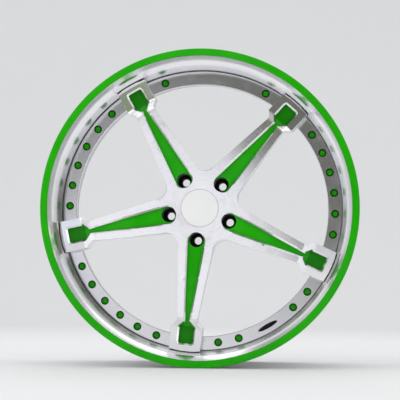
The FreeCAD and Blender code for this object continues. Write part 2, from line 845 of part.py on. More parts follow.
def make_badge(doc, s, y):
    badge = doc.addObject("Part::Feature", "oval_badge")
    badge.Label = "oval_badge"
    oval = Part.Ellipse(Vector(), s["badge_length"].number / 2, s["badge_width"].number / 2)
    plate = Part.Face(Part.Wire(oval.toShape())).extrude(Vector(0, 0, s["badge_thickness"].number))
    angle = 90 - (BADGE_BAY + 0.5) * 360 / SPOKES + s["spoke_turn"].number
    across, up = spot(s["bolt_circle_radius"], angle)
    face = Placement(Vector(across.number, y["ring_depth"].number, up.number), Rotation(Vector(1, 0, 0), 90))
    badge.Shape = plate
    badge.Placement = face.multiply(Placement(Vector(), Rotation(Vector(0, 0, 1), angle + 90)))
    return badge


def on_valve(item, s, y, axis):
    # Sets a part of the valve with its own axis pointing out from the wheel's.
    across, up = spot(as_size(1), valve_angle(s).number)
    way = Vector(across.number, 0, up.number)
    item.Placement = Placement(Vector(0, (y.joint() + s["valve_back"]).number, 0), Rotation(axis, way))
    return item


def valve_body(doc, s, y, label, corners):
    body = new_body(doc, label)
    turned(body, corners)
    return on_valve(body, s, y, Vector(0, 1, 0))


def make_valve(doc, s, y):
    inside, outside = valve_walls(s)
    head = outside + s["seal_thickness"]
    nut = inside - s["valve_washer_thickness"]
    tip = nut - s["stem_reach"]
    sleeve = s["valve_hole_radius"] - s["seal_clearance"]
    stem_side = s["stem_radius"] + s["seal_clearance"]
    bore = s["stem_bore_radius"]
    seal = valve_body(doc, s, y, "valve_seal", [
        (stem_side, inside, None),
        (sleeve, inside, None),
        (sleeve, outside, None),
        (s["seal_radius"], outside, None),
        (s["seal_radius"], head, None),
        (stem_side, head, None),
    ])
    stem = valve_body(doc, s, y, "valve_stem", [
        (bore, tip, None),
        (s["stem_radius"], tip, None),
        (s["stem_radius"], head, None),
        (s["stem_head_radius"], head, None),
        (s["stem_head_radius"], head + s["stem_head_thickness"], None),
        (bore, head + s["stem_head_thickness"], None),
    ])
    washer = valve_body(doc, s, y, "valve_washer", [
        (stem_side, nut, None),
        (s["valve_washer_radius"], nut, None),
        (s["valve_washer_radius"], inside, None),
        (stem_side, inside, None),
    ])
    core = valve_body(doc, s, y, "valve_core", [
        (as_size(0), tip, None),
        (s["core_radius"], tip, None),
        (s["core_radius"], tip + s["core_length"], None),
        (as_size(0), tip + s["core_length"], None),
    ])
    rim = tip - s["valve_cap_end"]
    cap_bore = s["stem_radius"] + s["seal_clearance"]
    cap = valve_body(doc, s, y, "valve_cap", [
        (as_size(0), rim, None),
        (s["valve_cap_radius"], rim, s["cap_edge_round"]),
        (s["valve_cap_radius"], rim + s["valve_cap_length"], None),
        (cap_bore, rim + s["valve_cap_length"], None),
        (cap_bore, tip, None),
        (as_size(0), tip, None),
    ])
    low = nut - s["valve_nut_height"]
    hexnut = bored(doc, hexagon(doc, s["valve_nut_radius"], low, nut), cylinder(doc, stem_side, low, nut))
    hexnut.Label = "valve_nut"
    on_valve(hexnut, s, y, Vector(0, 0, 1))
    return [seal, stem, washer, core, cap, hexnut]


def check(doc):
    for item in doc.Objects:
        if "Invalid" in item.State or "Error" in item.State:
            raise RuntimeError(f"{item.Label} did not build: {item.State}")


def export(items):
    os.makedirs("parts", exist_ok=True)
    for item in items:
        if item.Shape.isNull() or not item.Shape.isValid():
            raise RuntimeError(f"{item.Label} has no sound shape")
        item.Shape.exportStep(f"parts/{item.Label}.step")


def main():
    doc = FreeCAD.newDocument("forged_wheel")
    s = make_sheet(doc)
    y = Depths(s)
    makers = (make_centre, make_outer_lip, make_inner_barrel, make_sealant, make_bolts, make_washers,
              make_nuts, make_cap, make_spring_ring, make_badge)
    items = [make(doc, s, y) for make in makers]
    items += make_valve(doc, s, y)
    doc.recompute()
    check(doc)
    export(items)


main()
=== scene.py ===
import bisect
import math

import bmesh
import bpy
from mathutils import Matrix, Vector


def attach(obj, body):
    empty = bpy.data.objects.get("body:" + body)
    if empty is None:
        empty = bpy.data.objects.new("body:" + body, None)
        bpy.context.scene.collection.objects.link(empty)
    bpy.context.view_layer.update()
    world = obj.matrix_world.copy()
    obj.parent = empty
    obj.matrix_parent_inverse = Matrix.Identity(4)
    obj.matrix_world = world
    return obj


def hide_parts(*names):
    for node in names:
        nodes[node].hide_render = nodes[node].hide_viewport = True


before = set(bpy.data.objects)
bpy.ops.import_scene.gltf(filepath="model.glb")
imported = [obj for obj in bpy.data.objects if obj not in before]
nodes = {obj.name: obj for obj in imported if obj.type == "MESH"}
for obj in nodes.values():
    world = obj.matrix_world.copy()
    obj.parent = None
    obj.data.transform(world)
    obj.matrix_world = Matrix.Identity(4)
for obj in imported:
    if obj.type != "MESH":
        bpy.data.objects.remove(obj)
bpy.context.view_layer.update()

mm = 0.001
halfWidth = 140.0  # rim's front edge to the wheel's middle
faceOut = Matrix.Rotation(math.pi / 2, 4, "X")  # a piece's own z points out of the face
print("frame loaded:", len(nodes), "nodes")


class Wire:
    # a shader socket that takes part in sums

    def __init__(self, tree, socket=None):
        self.tree = tree
        self.socket = socket

    def node(self, kind, settings, sockets, out=0):
        made = self.tree.nodes.new("ShaderNode" + kind)
        for name, value in settings.items():
            setattr(made, name, value)
        for name, value in sockets.items():
            if isinstance(value, Wire):
                self.tree.links.new(value.socket, made.inputs[name])
            else:
                made.inputs[name].default_value = value
        return Wire(self.tree, made.outputs[out] if made.outputs else None)

    def other(self, out):
        return Wire(self.tree, self.socket.node.outputs[out])

    def sum(self, operation, *terms):
        return self.node("Math", {"operation": operation}, dict(enumerate(terms)))

    def apply(self, operation, *terms):
        return self.sum(operation, self, *terms)

    def __add__(self, term):
        return self.sum("ADD", self, term)

    def __radd__(self, term):
        return self.sum("ADD", term, self)

    def __sub__(self, term):
        return self.sum("SUBTRACT", self, term)

    def __rsub__(self, term):
        return self.sum("SUBTRACT", term, self)

    def __mul__(self, term):
        return self.sum("MULTIPLY", self, term)

    def __rmul__(self, term):
        return self.sum("MULTIPLY", term, self)

    def between(self, low, high):
        # 0 below low, 1 above high, smooth from one to the other
        return self.node("MapRange", {"interpolation_type": "SMOOTHSTEP"},
                         {"Value": self, "From Min": low, "From Max": high})


def newFinish(name):
    finish = bpy.data.materials.new(name)
    finish.use_nodes = True
    finish.node_tree.nodes.clear()
    return finish, Wire(finish.node_tree)


def closeFinish(wire, **sockets):
    named = {name.replace("_", " "): value for name, value in sockets.items()}
    shader = wire.node("BsdfPrincipled", {}, named)
    wire.node("OutputMaterial", {}, {"Surface": shader})


def blendColours(share, first, second):
    return share.node("Mix", {"data_type": "RGBA"}, {0: share, 6: first, 7: second}, 2)


def noiseAt(wire, vector, scale, detail=3.0, rough=0.55):
    return wire.node("TexNoise", {}, {"Vector": vector, "Scale": scale, "Detail": detail, "Roughness": rough})


def bumpOf(height, strength, distance):
    return height.node("Bump", {}, {"Height": height, "Strength": strength, "Distance": distance})


def seenRays(wire):
    # 1 for what the camera sees by itself, in metal and through glass
    path = wire.node("LightPath", {}, {}, "Is Camera Ray")
    mirrored = path.apply("MAXIMUM", path.other("Is Glossy Ray"))
    return mirrored.apply("MAXIMUM", path.other("Is Transmission Ray"))


def pointOn(wire):
    return wire.node("TexCoord", {}, {}, "Object")


def wheelPlace(wire):
    # place on the wheel: the point, its distance from the axle line, its angle and its depth
    point = pointOn(wire)
    x = point.node("SeparateXYZ", {}, {"Vector": point})
    y, z = x.other("Y"), x.other("Z")
    radius = (x * x + z * z).apply("SQRT")
    return point, radius, z.apply("ARCTAN2", x), y


def turnedGrain(wire, radius, angle, depth, pitch, drift):
    # fine rings left by a lathe tool or a polishing mop, that wander slowly round the wheel
    vector = wire.node("CombineXYZ", {}, {"X": radius * pitch, "Y": depth * pitch, "Z": angle * drift})
    return noiseAt(wire, vector, 1.0, 4.0, 0.65)


polishedSizes = {
    "bright": (0.930, 0.928, 0.945, 1), "cool": (0.880, 0.882, 0.920, 1),
    "roughness": 0.08, "smear": 0.04, "grain": 520.0, "grainRough": 0.05,
    "cloudSize": 9.0, "smearSize": 46.0, "bump": (0.05, 0.0002),
}


def makePolished(name, sizes, drift):
    finish, wire = newFinish(name)
    point, radius, angle, depth = wheelPlace(wire)
    grain = turnedGrain(wire, radius, angle, depth, sizes["grain"], drift)
    cloud = noiseAt(wire, point, sizes["cloudSize"], 4.0)
    smear = noiseAt(wire, point, sizes["smearSize"], 5.0, 0.6).between(0.48, 0.78)
    colour = blendColours(cloud.between(0.32, 0.68), sizes["bright"], sizes["cool"])
    rough = sizes["roughness"] + smear * sizes["smear"] + grain.between(0.4, 0.8) * sizes["grainRough"]
    bump = bumpOf(grain, *sizes["bump"])
    closeFinish(wire, Base_Color=colour, Metallic=1.0, Roughness=rough, Normal=bump)
    return finish


satinSizes = {
    "bright": (0.640, 0.640, 0.655, 1), "dull": (0.470, 0.470, 0.480, 1),
    "roughness": 0.24, "grain": 900.0, "grainRough": 0.14, "cloudRough": 0.06,
    "drift": 1.6, "cloudSize": 14.0, "bumpDeep": 0.0003,
}


def makeSatin(name, sizes, strength):
    finish, wire = newFinish(name)
    point, radius, angle, depth = wheelPlace(wire)
    grain = turnedGrain(wire, radius, angle, depth, sizes["grain"], sizes["drift"])
    cloud = noiseAt(wire, point, sizes["cloudSize"], 4.0)
    colour = blendColours((grain * 0.5 + cloud * 0.5).between(0.36, 0.66), sizes["bright"], sizes["dull"])
    rough = sizes["roughness"] + grain.between(0.3, 0.75) * sizes["grainRough"] + cloud * sizes["cloudRough"]
    bump = bumpOf(grain, strength, sizes["bumpDeep"])
    closeFinish(wire, Base_Color=colour, Metallic=1.0, Roughness=rough, Normal=bump)
    return finish


paintSizes = {
    "light": (0.018, 0.440, 0.000, 1), "deep": (0.010, 0.370, 0.000, 1), "dust": (0.05, 0.44, 0.03, 1),
    "roughness": 0.30, "coat": 0.12, "gloss": 0.10,
    "cloudSize": 12.0, "peel": 620.0, "speckSize": 1500.0, "bump": (0.05, 0.0004),
}


def makePaint(name, sizes, shade):
    # gloss paint: slow shifts of colour, orange peel and fine specks of dust
    finish, wire = newFinish(name)
    point = pointOn(wire)
    cloud = noiseAt(wire, point, sizes["cloudSize"], 4.0)
    peel = noiseAt(wire, point, sizes["peel"], 2.0)
    speck = noiseAt(wire, point, sizes["speckSize"], 2.0).between(0.66, 0.74)
    light, deep = (tuple(part * shade for part in sizes[tone][:3]) + (1,) for tone in ("light", "deep"))
    body = blendColours(cloud.between(0.3, 0.7), light, deep)
    colour = blendColours(speck * 0.22, body, sizes["dust"])
    rough = sizes["roughness"] + cloud * 0.10 + speck * 0.2
    closeFinish(wire, Base_Color=colour, Roughness=rough, Normal=bumpOf(peel, *sizes["bump"]),
                Coat_Weight=sizes["coat"], Coat_Roughness=0.05, Specular_IOR_Level=sizes["gloss"])
    return finish


def makePlain(name, light, dark, metallic, roughness, scale, strength, coat=0.0, gloss=0.5):
    # small fittings: mottled colour and roughness with a fine bump
    finish, wire = newFinish(name)
    point = pointOn(wire)
    cloud = noiseAt(wire, point, scale, 5.0)
    fine = noiseAt(wire, point, scale * 14, 3.0)
    colour = blendColours((cloud * 0.7 + fine * 0.3).between(0.34, 0.66), light, dark)
    rough = roughness + fine.between(0.35, 0.7) * 0.12 + cloud * 0.08
    bump = bumpOf(fine, strength, 0.0003)
    closeFinish(wire, Base_Color=colour, Metallic=metallic, Roughness=rough, Normal=bump,
                Coat_Weight=coat, Coat_Roughness=0.08, Specular_IOR_Level=gloss)
    return finish


polishedKinds = {
    # what differs from the face's polish, and how fast the grain wanders round
    "polishedFace": ({}, 3.0),
    "polishedEdge": ({"bright": (0.975, 0.975, 0.98, 1), "cool": (0.955, 0.955, 0.965, 1), "roughness": 0.12}, 3.0),
    "polishedFoot": ({"roughness": 0.07, "smear": 0.06}, 3.0),
    "polishedLip": ({"bright": (0.985, 0.985, 0.99, 1), "cool": (0.945, 0.95, 0.975, 1),
                     "roughness": 0.22, "smear": 0.03, "grain": 420.0}, 2.0),
    "spokeSide": ({"roughness": 0.38, "smear": 0.10}, 5.0),
    "satinRing": ({"bright": (0.79, 0.79, 0.81, 1), "cool": (0.73, 0.73, 0.77, 1), "roughness": 0.12}, 3.0),
}

satinKinds = {
    # what differs from plain satin, and the strength of the tool marks
    "machinedBack": ({"roughness": 0.34}, 0.16),
    "spunBarrel": ({"roughness": 0.30, "grain": 700.0}, 0.14),
}

paintKinds = {
    # what differs from the channels' paint, and how light it is; the pads' and the bolt pockets' darker copies are
    # painted shade
    "channelPaint": ({}, 1.0),
    # the channel green darkened to 0.55 on the pads' pockets: painted shade
    "padPaint": ({}, 0.55),
    "flangePaint": ({"peel": 480.0}, 1.0),
    "boltPaint": ({"peel": 900.0}, 0.92),
    # green paint in the bolt counterbores darkened to 0.30: painted shade of the recess round the heads
    "pocketPaint": ({}, 0.30),
}

plainKinds = {
    # light and dark tone, metallic, roughness, scale of the mottling, bump, then coat and gloss
    # lug bores near-black: painted shade deep in the lug holes
    "boreShadeBlack": ((0.030, 0.030, 0.032, 1), (0.012, 0.012, 0.013, 1), 0.4, 0.42, 120.0, 0.2),
    "whiteCap": ((0.940, 0.940, 0.943, 1), (0.915, 0.916, 0.922, 1), 0.0, 0.24, 26.0, 0.02, 0.4),
    "badgeBlack": ((0.006, 0.006, 0.007, 1), (0.011, 0.011, 0.012, 1), 0.0, 0.30, 60.0, 0.02, 0.0, 0.15),
    "badgeRim": ((0.62, 0.62, 0.63, 1), (0.44, 0.44, 0.46, 1), 1.0, 0.20, 90.0, 0.05),
    "zincPlate": ((0.60, 0.60, 0.62, 1), (0.44, 0.45, 0.47, 1), 1.0, 0.26, 70.0, 0.10),
    "springWire": ((0.46, 0.46, 0.47, 1), (0.34, 0.34, 0.36, 1), 1.0, 0.28, 80.0, 0.08),
    "nickelBrass": ((0.70, 0.67, 0.58, 1), (0.54, 0.51, 0.43, 1), 1.0, 0.22, 90.0, 0.06),
    "valveRubber": ((0.030, 0.030, 0.031, 1), (0.016, 0.016, 0.017, 1), 0.0, 0.62, 80.0, 0.25),
    "capPlastic": ((0.028, 0.028, 0.030, 1), (0.018, 0.018, 0.019, 1), 0.0, 0.42, 110.0, 0.20),
    "sealantGrey": ((0.30, 0.30, 0.31, 1), (0.22, 0.22, 0.23, 1), 0.0, 0.50, 40.0, 0.30),
}

finishes = {name: makePlain(name, *kind) for name, kind in plainKinds.items()}
for make, sizes, kinds in (
    (makePolished, polishedSizes, polishedKinds),
    (makeSatin, satinSizes, satinKinds),
    (makePaint, paintSizes, paintKinds),
):
    for name, (changes, strength) in kinds.items():
        finishes[name] = make(name, dict(sizes, **changes), strength)
print("finishes made:", len(finishes))


def roundedLine(corners, closed, steps=10):
    # points of a line through (radius, height, round) corners, with arcs of the given rounds
    line = []
    count = len(corners)
    for i, (radius, height, bend) in enumerate(corners):
        corner = Vector((radius, height))
        atEnd = not closed and i in (0, count - 1)
        if bend <= 0 or atEnd:
            line.append(corner)
            continue
        back = (Vector(corners[i - 1][:2]) - corner).normalized()
        ahead = (Vector(corners[(i + 1) % count][:2]) - corner).normalized()
        half = back.angle(ahead) / 2
        middle = corner + (back + ahead).normalized() * (bend / math.sin(half))
        start = corner + back * (bend / math.tan(half)) - middle
        sweep = start.angle_signed(corner + ahead * (bend / math.tan(half)) - middle)
        for step in range(steps + 1):
            turn = -sweep * step / steps
            cos, sin = math.cos(turn), math.sin(turn)
            line.append(middle + Vector((start.x * cos - start.y * sin, start.x * sin + start.y * cos)))
    return line


def ringRow(bm, radiusAt, height, segments, place):
    # one ring of points; radiusAt gives the distance from the axis at an angle, and a ring of no radius is one point
    if radiusAt(0.0) < 1e-9:
        return [bm.verts.new(place @ Vector((0, 0, height * mm)))]
    row = []
    for step in range(segments):
        angle = 2 * math.pi * step / segments
        radius = radiusAt(angle) * mm
        spot = Vector((radius * math.cos(angle), radius * math.sin(angle), height * mm))
        row.append(bm.verts.new(place @ spot))
    return row


def joinRows(bm, first, second, slot):
    if len(first) == 1 and len(second) == 1:
        return
    count = max(len(first), len(second))
    for i in range(count):
        j = (i + 1) % count
        corners = [first[i % len(first)], first[j % len(first)]]
        corners += [second[j % len(second)], second[i % len(second)]]
        face = bm.faces.new(list(dict.fromkeys(corners)))
        face.smooth = True
        face.material_index = slot


def addTurned(bm, rows, segments, place, closed=True):
    # rows: (radius or function of angle, height, slot of the band that follows)
    made = []
    for radius, height, _ in rows:
        radiusAt = radius if callable(radius) else (lambda angle, radius=radius: radius)
        made.append(ringRow(bm, radiusAt, height, segments, place))
    pairs = len(rows) if closed else len(rows) - 1
    for i in range(pairs):
        joinRows(bm, made[i], made[(i + 1) % len(rows)], rows[i][2])


def closePiece(bm, name, finishNames, sharp, slotName, *replaced):
    bmesh.ops.recalc_face_normals(bm, faces=bm.faces)
    mesh = bpy.data.meshes.new(name)
    bm.to_mesh(mesh)
    bm.free()
    mesh.set_sharp_from_angle(angle=math.radians(sharp))
    placePiece(mesh, name, finishNames, slotName, *replaced)


def placePiece(mesh, name, finishNames, slotName, *replaced):
    piece = bpy.data.objects.new(name, mesh)
    bpy.context.scene.collection.objects.link(piece)
    for finishName in finishNames:
        mesh.materials.append(finishes[finishName])
    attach(piece, "root")
    if replaced:
        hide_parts(*replaced)
    print("piece", name, len(mesh.polygons), "faces")


def wheelHeight(depth):
    # height along the piece's own z of a depth behind the rim's front edge
    return halfWidth - depth


spokeAngles = [math.radians(48 + 72 * i) for i in range(5)]

ringSizes = {
    "face": 88.0, "inner": 242.5, "boltCircle": 256.0, "boltPocket": 7.9,
    "firstFoot": 120, "bayTurn": 72, "places": 6, "placeTurn": 9,
    "leftOut": {0: 2.0, 2: 1.0},  # places nearer to the middle of a bay than this hold no bolt
}


def boltAngles():
    # bays between two feet hold six places; one bay keeps only its outer two, and the badge stands on two of another
    sizes = ringSizes
    angles = []
    for bay in range(len(spokeAngles)):
        leftOut = sizes["leftOut"].get(bay, 0.0)
        for place in range(sizes["places"]):
            steps = place - (sizes["places"] - 1) / 2
            if abs(steps) > leftOut:
                turn = sizes["firstFoot"] - (bay + 0.5) * sizes["bayTurn"] + steps * sizes["placeTurn"]
                angles.append(math.radians(turn))
    return angles


def ringSpot(angle, depth):
    # a place on the bolt circle, at a depth behind the rim's front edge
    circle = ringSizes["boltCircle"]
    return Vector((circle * math.cos(angle) * mm, (depth - halfWidth) * mm, circle * math.sin(angle) * mm))


centreSizes = {
    "faceLine": [(15, 30, 0), (80, 30, 300), (140, 25.5, 300), (207, 29, 45), (228, 39, 30), (270.4, 43.5, 0)],
    # half width and distance along the spoke
    "channel": [(16.8, 48.5), (3.4, 215.5), (13.5, 225.6), (13.5, 256.5)],
    "channelDeep": (1.9, 7.2), "channelRim": 3.0, "padStart": 222.0, "padEnd": 255.0, "padHalf": 9.0,
    "lugCircle": 60.0, "lugPocket": 14.2, "lugDeep": 101.9, "hubBore": 37.0, "backStart": 45.0,
    "footStart": 214.0, "bendStart": 209.0,
    "dish": -0.012,  # the mop leaves the face a little hollow up to the bend
    "cuts": (60, 272, 4),  # from, to and step of the cuts across a spoke
    "edgeMoves": (1.4, 0.8, 78.0),  # bevels by the channel, bevels by the side, and where they start
    "nearFace": 0.45, "flat": 0.8, "steep": 0.3, "bevelDeep": (0.02, 2.1), "bevelFlat": 0.95,
    "edgeStart": 40.0,
}


def nearestSpoke(x, z):
    return min(spokeAngles, key=lambda angle: -math.cos(math.atan2(z, x) - angle))


def onSpoke(x, z):
    # distances along and across the nearest spoke
    turn = nearestSpoke(x, z)
    return x * math.cos(turn) + z * math.sin(turn), z * math.cos(turn) - x * math.sin(turn)


def channelHalf(along):
    outline = centreSizes["channel"]
    for (wide, start), (narrow, end) in zip(outline, outline[1:]):
        if start <= along <= end:
            return wide + (narrow - wide) * (along - start) / (end - start)
    return -1.0


class FaceLine:
    # depth and slope of the arched face at a distance from the axle line

    def __init__(self, corners):
        line = roundedLine(corners, False, 40)
        self.radii = [point.x for point in line]
        self.depths = [point.y for point in line]
        self.slopes = []
        for i in range(len(line)):
            before, after = line[max(i - 1, 0)], line[min(i + 1, len(line) - 1)]
            self.slopes.append((after.y - before.y) / (after.x - before.x))

    def at(self, radius):
        i = min(max(bisect.bisect(self.radii, radius), 1), len(self.radii) - 1)
        share = (radius - self.radii[i - 1]) / (self.radii[i] - self.radii[i - 1])
        share = min(max(share, 0.0), 1.0)
        mix = lambda values: values[i - 1] + (values[i] - values[i - 1]) * share
        return mix(self.depths), mix(self.slopes)


def widenEdge(corner, face):
    # moves a bevel's upper corner over the face, away from the channel or in from the spoke's side
    sizes = centreSizes
    x, y, z = corner.co / mm
    if abs(y + halfWidth - face.at(math.hypot(x, z))[0]) > 0.1:  # a lower corner
        return
    turn = nearestSpoke(x, z)
    along, across = onSpoke(x, z)
    inner, outer, start = sizes["edgeMoves"]
    if along < start:
        return
    channelEnd = sizes["channel"][-1][1]
    byChannel = abs(across) < channelHalf(min(along, channelEnd)) + sizes["channelRim"]
    atEnd = byChannel and along > sizes["padEnd"]
    if atEnd:
        along += inner
    if not atEnd or abs(across) > sizes["padHalf"]:
        across += math.copysign(inner if byChannel else -outer, across)
    x = along * math.cos(turn) - across * math.sin(turn)
    z = along * math.sin(turn) + across * math.cos(turn)
    corner.co = Vector((x, face.at(math.hypot(x, z))[0] - halfWidth, z)) * mm


def splitFace(mesh, face):
    # cuts the arched face across each spoke, so that its shading follows the bend; side walls keep their normals
    sizes = centreSizes
    kept = mesh.attributes.new("keptNormal", "FLOAT_VECTOR", "CORNER")
    for corner, normal in zip(kept.data, mesh.corner_normals):
        corner.vector = normal.vector
    bm = bmesh.new()
    bm.from_mesh(mesh)
    bmesh.ops.remove_doubles(bm, verts=bm.verts, dist=1e-6)  # the solid's faces come apart along their edges
    groups = {turn: [] for turn in spokeAngles}
    edgeCorners = set()
    shallow, deep = sizes["bevelDeep"]
    for polygon in bm.faces:
        x, y, z = polygon.calc_center_median() / mm
        below = y + halfWidth - face.at(math.hypot(x, z))[0]
        facing = -polygon.normal.y
        if facing > sizes["flat"] and abs(below) < sizes["nearFace"]:
            groups[nearestSpoke(x, z)].append(polygon)
        elif sizes["steep"] < facing < sizes["bevelFlat"] and shallow < below < deep:
            edgeCorners.update(polygon.verts)
    for corner in edgeCorners:
        widenEdge(corner, face)
    start, end, step = sizes["cuts"]
    for turn, polygons in groups.items():
        way = Vector((math.cos(turn), 0, math.sin(turn)))
        parts = set(polygons)
        for polygon in polygons:
            parts.update(polygon.edges)
            parts.update(polygon.verts)
        for along in range(start, end, step):
            spot = way * along * mm
            cut = bmesh.ops.bisect_plane(bm, geom=list(parts), dist=1e-7, plane_co=spot, plane_no=way)
            parts = cut["geom"]
    bm.to_mesh(mesh)
    bm.free()
    kept = mesh.attributes["keptNormal"]
    normals = [corner.vector.copy() for corner in kept.data]
    mesh.attributes.remove(kept)
    return normals


def centreFinish(x, z, depth, below, facing, bolts):
    # the finish of a face of the centre, by its place and how squarely it faces the front
    sizes, ring = centreSizes, ringSizes
    radius = math.hypot(x, z)
    along, across = onSpoke(x, z)
    onRing = radius > ring["inner"]
    inLug = math.hypot(along - sizes["lugCircle"], across) < sizes["lugPocket"]
    # the walls of the lug pockets are painted near-black, as painted shade in the deep holes
    if inLug and below > 0.5 and depth < sizes["lugDeep"]:
        return "boreShadeBlack"
    # walls and floors of the bolt counterbores take the darkened green, which is painted shade of the recess
    if onRing and depth > ring["face"] + 0.05 and min(
            math.hypot(x - u, z - v) for u, v in bolts) < ring["boltPocket"]:
        return "pocketPaint"
    # on the pads the channel paint takes the darkened copy, which is painted shade
    if sizes["channelDeep"][0] < below < sizes["channelDeep"][1] and abs(across) < channelHalf(along) + 0.2:
        return "padPaint" if along > sizes["padStart"] else "channelPaint"
    if onRing and depth > ring["face"] - 0.1 and abs(facing) > sizes["steep"]:
        return "satinRing"
    if radius < sizes["hubBore"] or (facing < -sizes["steep"] and depth > sizes["backStart"]):
        return "machinedBack"
    if abs(facing) < sizes["steep"]:
        return "spokeSide"
    shallow, deep = sizes["bevelDeep"]
    if radius > sizes["edgeStart"] and shallow < below < deep and facing < sizes["bevelFlat"]:
        return "polishedEdge"
    return "polishedFoot" if along > sizes["footStart"] else "polishedFace"


def makeCentre():
    sizes = centreSizes
    face = FaceLine(sizes["faceLine"])
    circle = ringSizes["boltCircle"]
    bolts = [(circle * math.cos(angle), circle * math.sin(angle)) for angle in boltAngles()]
    mesh = nodes["wheel_centre"].data.copy()
    mesh.name = "wheelCentre"
    mesh.materials.clear()
    names = ["polishedFace", "channelPaint", "boreShadeBlack", "satinRing", "machinedBack", "spokeSide", "pocketPaint",
             "polishedFoot", "padPaint", "polishedEdge"]
    cornerNormals = splitFace(mesh, face)
    for polygon in mesh.polygons:
        x, y, z = polygon.center / mm
        depth, radius = y + halfWidth, math.hypot(x, z)
        below = depth - face.at(radius)[0]
        facing = -polygon.normal.y
        name = centreFinish(x, z, depth, below, facing, bolts)
        polygon.material_index = names.index(name)
        polygon.use_smooth = True
        onFace = name in ("polishedFace", "polishedFoot") and abs(below) < sizes["nearFace"]
        if facing > sizes["flat"] and (onFace or name == "satinRing"):
            for loop in polygon.loop_indices:
                spot = mesh.vertices[mesh.loops[loop].vertex_index].co
                reach = math.hypot(spot.x, spot.z)
                slope = face.at(reach / mm)[1] if radius > sizes["bendStart"] else sizes["dish"]
                slope = slope if onFace else 0.0
                lean = slope / reach
                cornerNormals[loop] = Vector((spot.x * lean, -1, spot.z * lean)).normalized()
    mesh.normals_split_custom_set(cornerNormals)
    placePiece(mesh, "wheelCentre", names, "polished_centre", "wheel_centre")


makeCentre()

lipSizes = {
    # radius, depth and round of each corner, and the finish of the band that follows it
    "outline": [
        (285.5, 0.0, 1.6, "paint"), (299.1, 1.6, 2.2, "paint"), (299.1, 13.0, 7.5, "spun"),
        (281.8, 13.0, 6.0, "spun"), (280.1, 33.0, 0.6, "spun"), (281.3, 37.0, 0.6, "spun"),
        (281.3, 41.0, 0.6, "spun"), (278.6, 49.0, 1.0, "spun"), (275.8, 103.0, 0.0, "spun"),
        (271.8, 107.0, 0.0, "spun"), (244.0, 107.0, 0.0, "spun"), (244.0, 100.0, 0.0, "spun"),
        (269.4, 100.0, 0.0, "lip"), (272.2, 42.0, 80.0, "lip"), (277.0, 15.0, 30.0, "lip"),
    ],
    "segments": 288,
}


def outlineRows(outline, slots, steps=8):
    # turned rows of an outline whose corners name a finish; rounds take the finish of the band after them
    corners = [corner[:3] for corner in outline]
    rows = []
    for i, (_, _, _, finish) in enumerate(outline):
        around = [corners[i - 1], corners[i], corners[(i + 1) % len(corners)]]
        for point in roundedLine(around, False, steps)[1:-1]:
            rows.append((point.x, wheelHeight(point.y), slots.index(finish)))
    return rows


def makeLip():
    bm = bmesh.new()
    rows = outlineRows(lipSizes["outline"], ["lip", "paint", "spun"])
    addTurned(bm, rows, lipSizes["segments"], faceOut)
    closePiece(bm, "outerLip", ["polishedLip", "flangePaint", "spunBarrel"], 35, "polished_lip", "outer_lip")


makeLip()

boltSizes = {
    "flange": 7.2, "head": 5.4, "height": 6.4, "shank": 4.0, "tail": 28.9, "seat": 95.5, "segments": 48,
    "thread": 1.25, "threadDeep": 0.6, "threadTop": -23.0,
    "point": [(0.0, 0.0), (2.7, 0.0), (3.3, 0.4)],  # radius, and height over the tail's end
    "neck": [(4.0, -22.5), (4.0, -0.3)],
    # past the flange's radius, and height
    "flangeEdge": [(-0.25, 0.0), (0.0, 0.25), (0.0, 0.9), (-0.12, 1.15), (-0.45, 1.32)],
    "collar": [(5.75, 1.75), (5.55, 1.95)],
    "crown": (5.25, 0.75, 0.7),  # radius where the rounded top starts, how much it draws in, and its height
    # radius, and depth under the top
    "dimple": [(3.55, 0.0), (3.3, 0.12), (3.05, 0.75), (2.85, 0.95), (1.7, 1.05), (0.9, 1.3), (0.0, 1.45)],
    "stops": 0.61,  # turn from one head to the next, so that they stop at different turns
}


def starAt(corner, points):
    # a socket-wrench head: two hexagons turned against each other, or one
    flat = corner * math.cos(math.pi / 6)

    def radiusAt(angle):
        hexagon = lambda turn: flat / math.cos((turn + math.pi / 6) % (math.pi / 3) - math.pi / 6)
        return max(hexagon(angle), hexagon(angle + math.pi / 6)) if points == 12 else hexagon(angle)
    return radiusAt


def limited(radiusAt, limit):
    return lambda angle: min(radiusAt(angle), limit)


def threadRows(low, high, radius, pitch, deep, slot, ease=1.2):
    # a screw thread from low to high: each row's radius runs round with the helix and dies out at the ends
    rows = []
    count = max(4, round((high - low) / pitch * 8))
    for step in range(count + 1):
        height = low + (high - low) * step / count
        fade = min(1.0, (height - low) / ease, (high - height) / ease)

        def radiusAt(angle, height=height, fade=fade):
            phase = (height / pitch + angle / (2 * math.pi)) % 1.0
            return radius - deep * fade * abs(2 * phase - 1)
        rows.append((radiusAt, height, slot))
    return rows


